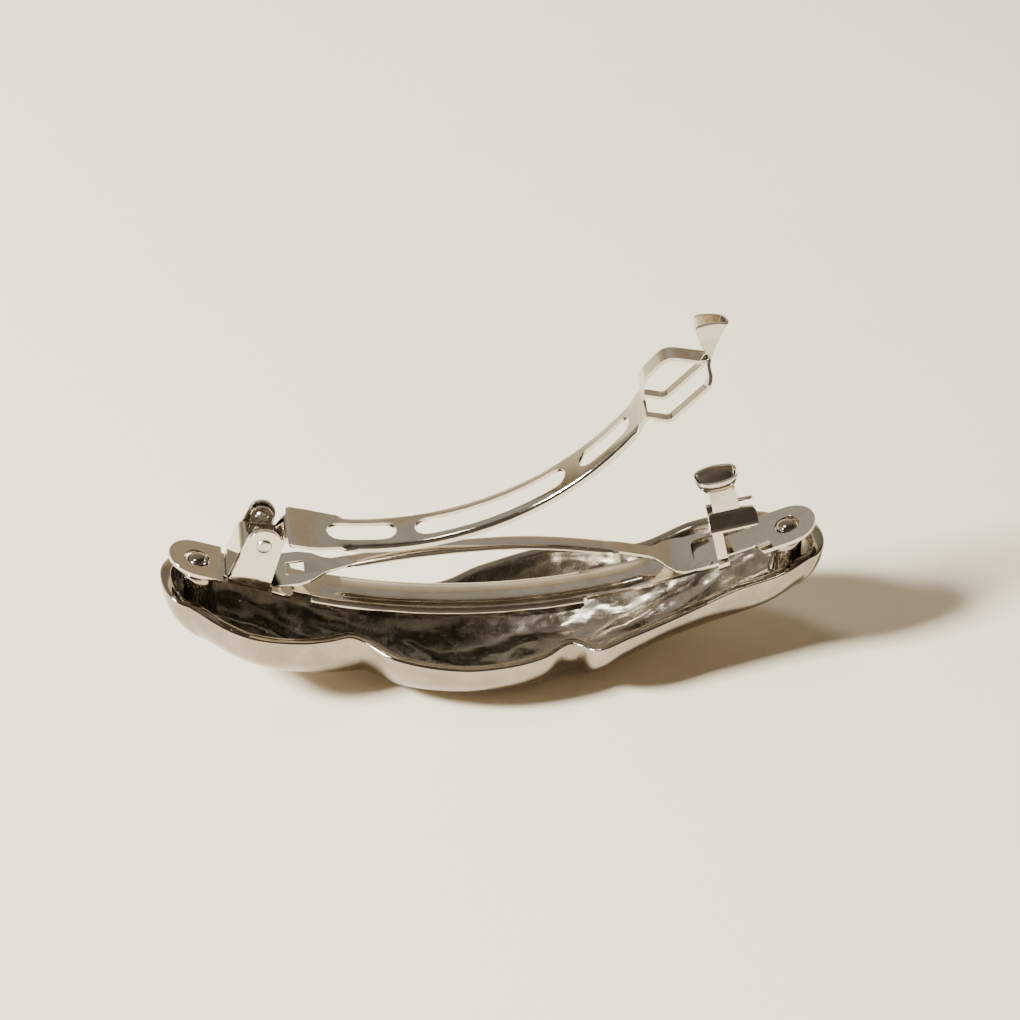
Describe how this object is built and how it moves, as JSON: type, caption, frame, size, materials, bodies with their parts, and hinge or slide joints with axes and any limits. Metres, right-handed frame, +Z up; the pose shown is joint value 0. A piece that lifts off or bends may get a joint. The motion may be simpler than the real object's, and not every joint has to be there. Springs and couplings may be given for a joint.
{
  "type": "french barrette",
  "caption": "Hair barrette: cast free-form shell lying face down, with a stamped steel clasp on its back: plate, hinged arm, bowed tension spring and sprung catch.",
  "frame": {"origin": "middle of the small flat on the crown of the shell, where the face-down barrette touches the surface", "axes": "+X along the barrette towards the catch, +Z up out of the shell through the clasp, -Y towards the flank with the two deep pleats"},
  "size_m": [0.0792, 0.0237, 0.0478],
  "materials": {
    "polished_nickel_cast": "polished nickel-tone plating over a zinc casting",
    "plated_steel_sheet": "bright nickel-tone plating over stamped steel sheet",
    "plated_spring_steel": "bright nickel-tone plating over thin spring steel",
    "plated_rivet": "plated steel, peened ends slightly dull"
  },
  "bodies": {
    "barrette": {"shell": "polished_nickel_cast", "base_plate": "plated_steel_sheet", "catch_saddle": "plated_spring_steel", "hinge_rivet_near": "plated_rivet", "hinge_rivet_far": "plated_rivet", "tension_spring": "plated_spring_steel"},
    "clasp_arm": {"arm": "plated_steel_sheet"},
    "near_leg": {"catch_leg_near": "plated_spring_steel"},
    "far_leg": {"catch_leg_far": "plated_spring_steel"}
  },
  "joints": [
    {"name": "arm_hinge", "type": "hinge", "parent": "barrette", "child": "clasp_arm", "pos_m": [-0.02729, 0, 0.02167], "axis": [0, -1, 0], "range_deg": [-16.1, 2.3], "deforming": ["tension_spring"]},
    {"name": "near_leg_squeeze", "type": "hinge", "parent": "barrette", "child": "near_leg", "pos_m": [0.02833, -0.00315, 0.01614], "axis": [0.9799, 0, 0.1994], "range_deg": [-1.8, 0], "stiffness_Nm_per_rad": 0.02},
    {"name": "far_leg_squeeze", "type": "hinge", "parent": "barrette", "child": "far_leg", "pos_m": [0.02833, 0.00315, 0.01614], "axis": [0.9799, 0, 0.1994], "range_deg": [0, 1.8], "stiffness_Nm_per_rad": 0.02}
  ],
  "couplings": [
    {"joint": "far_leg_squeeze", "follows": "near_leg_squeeze", "ratio": -1}
  ]
}
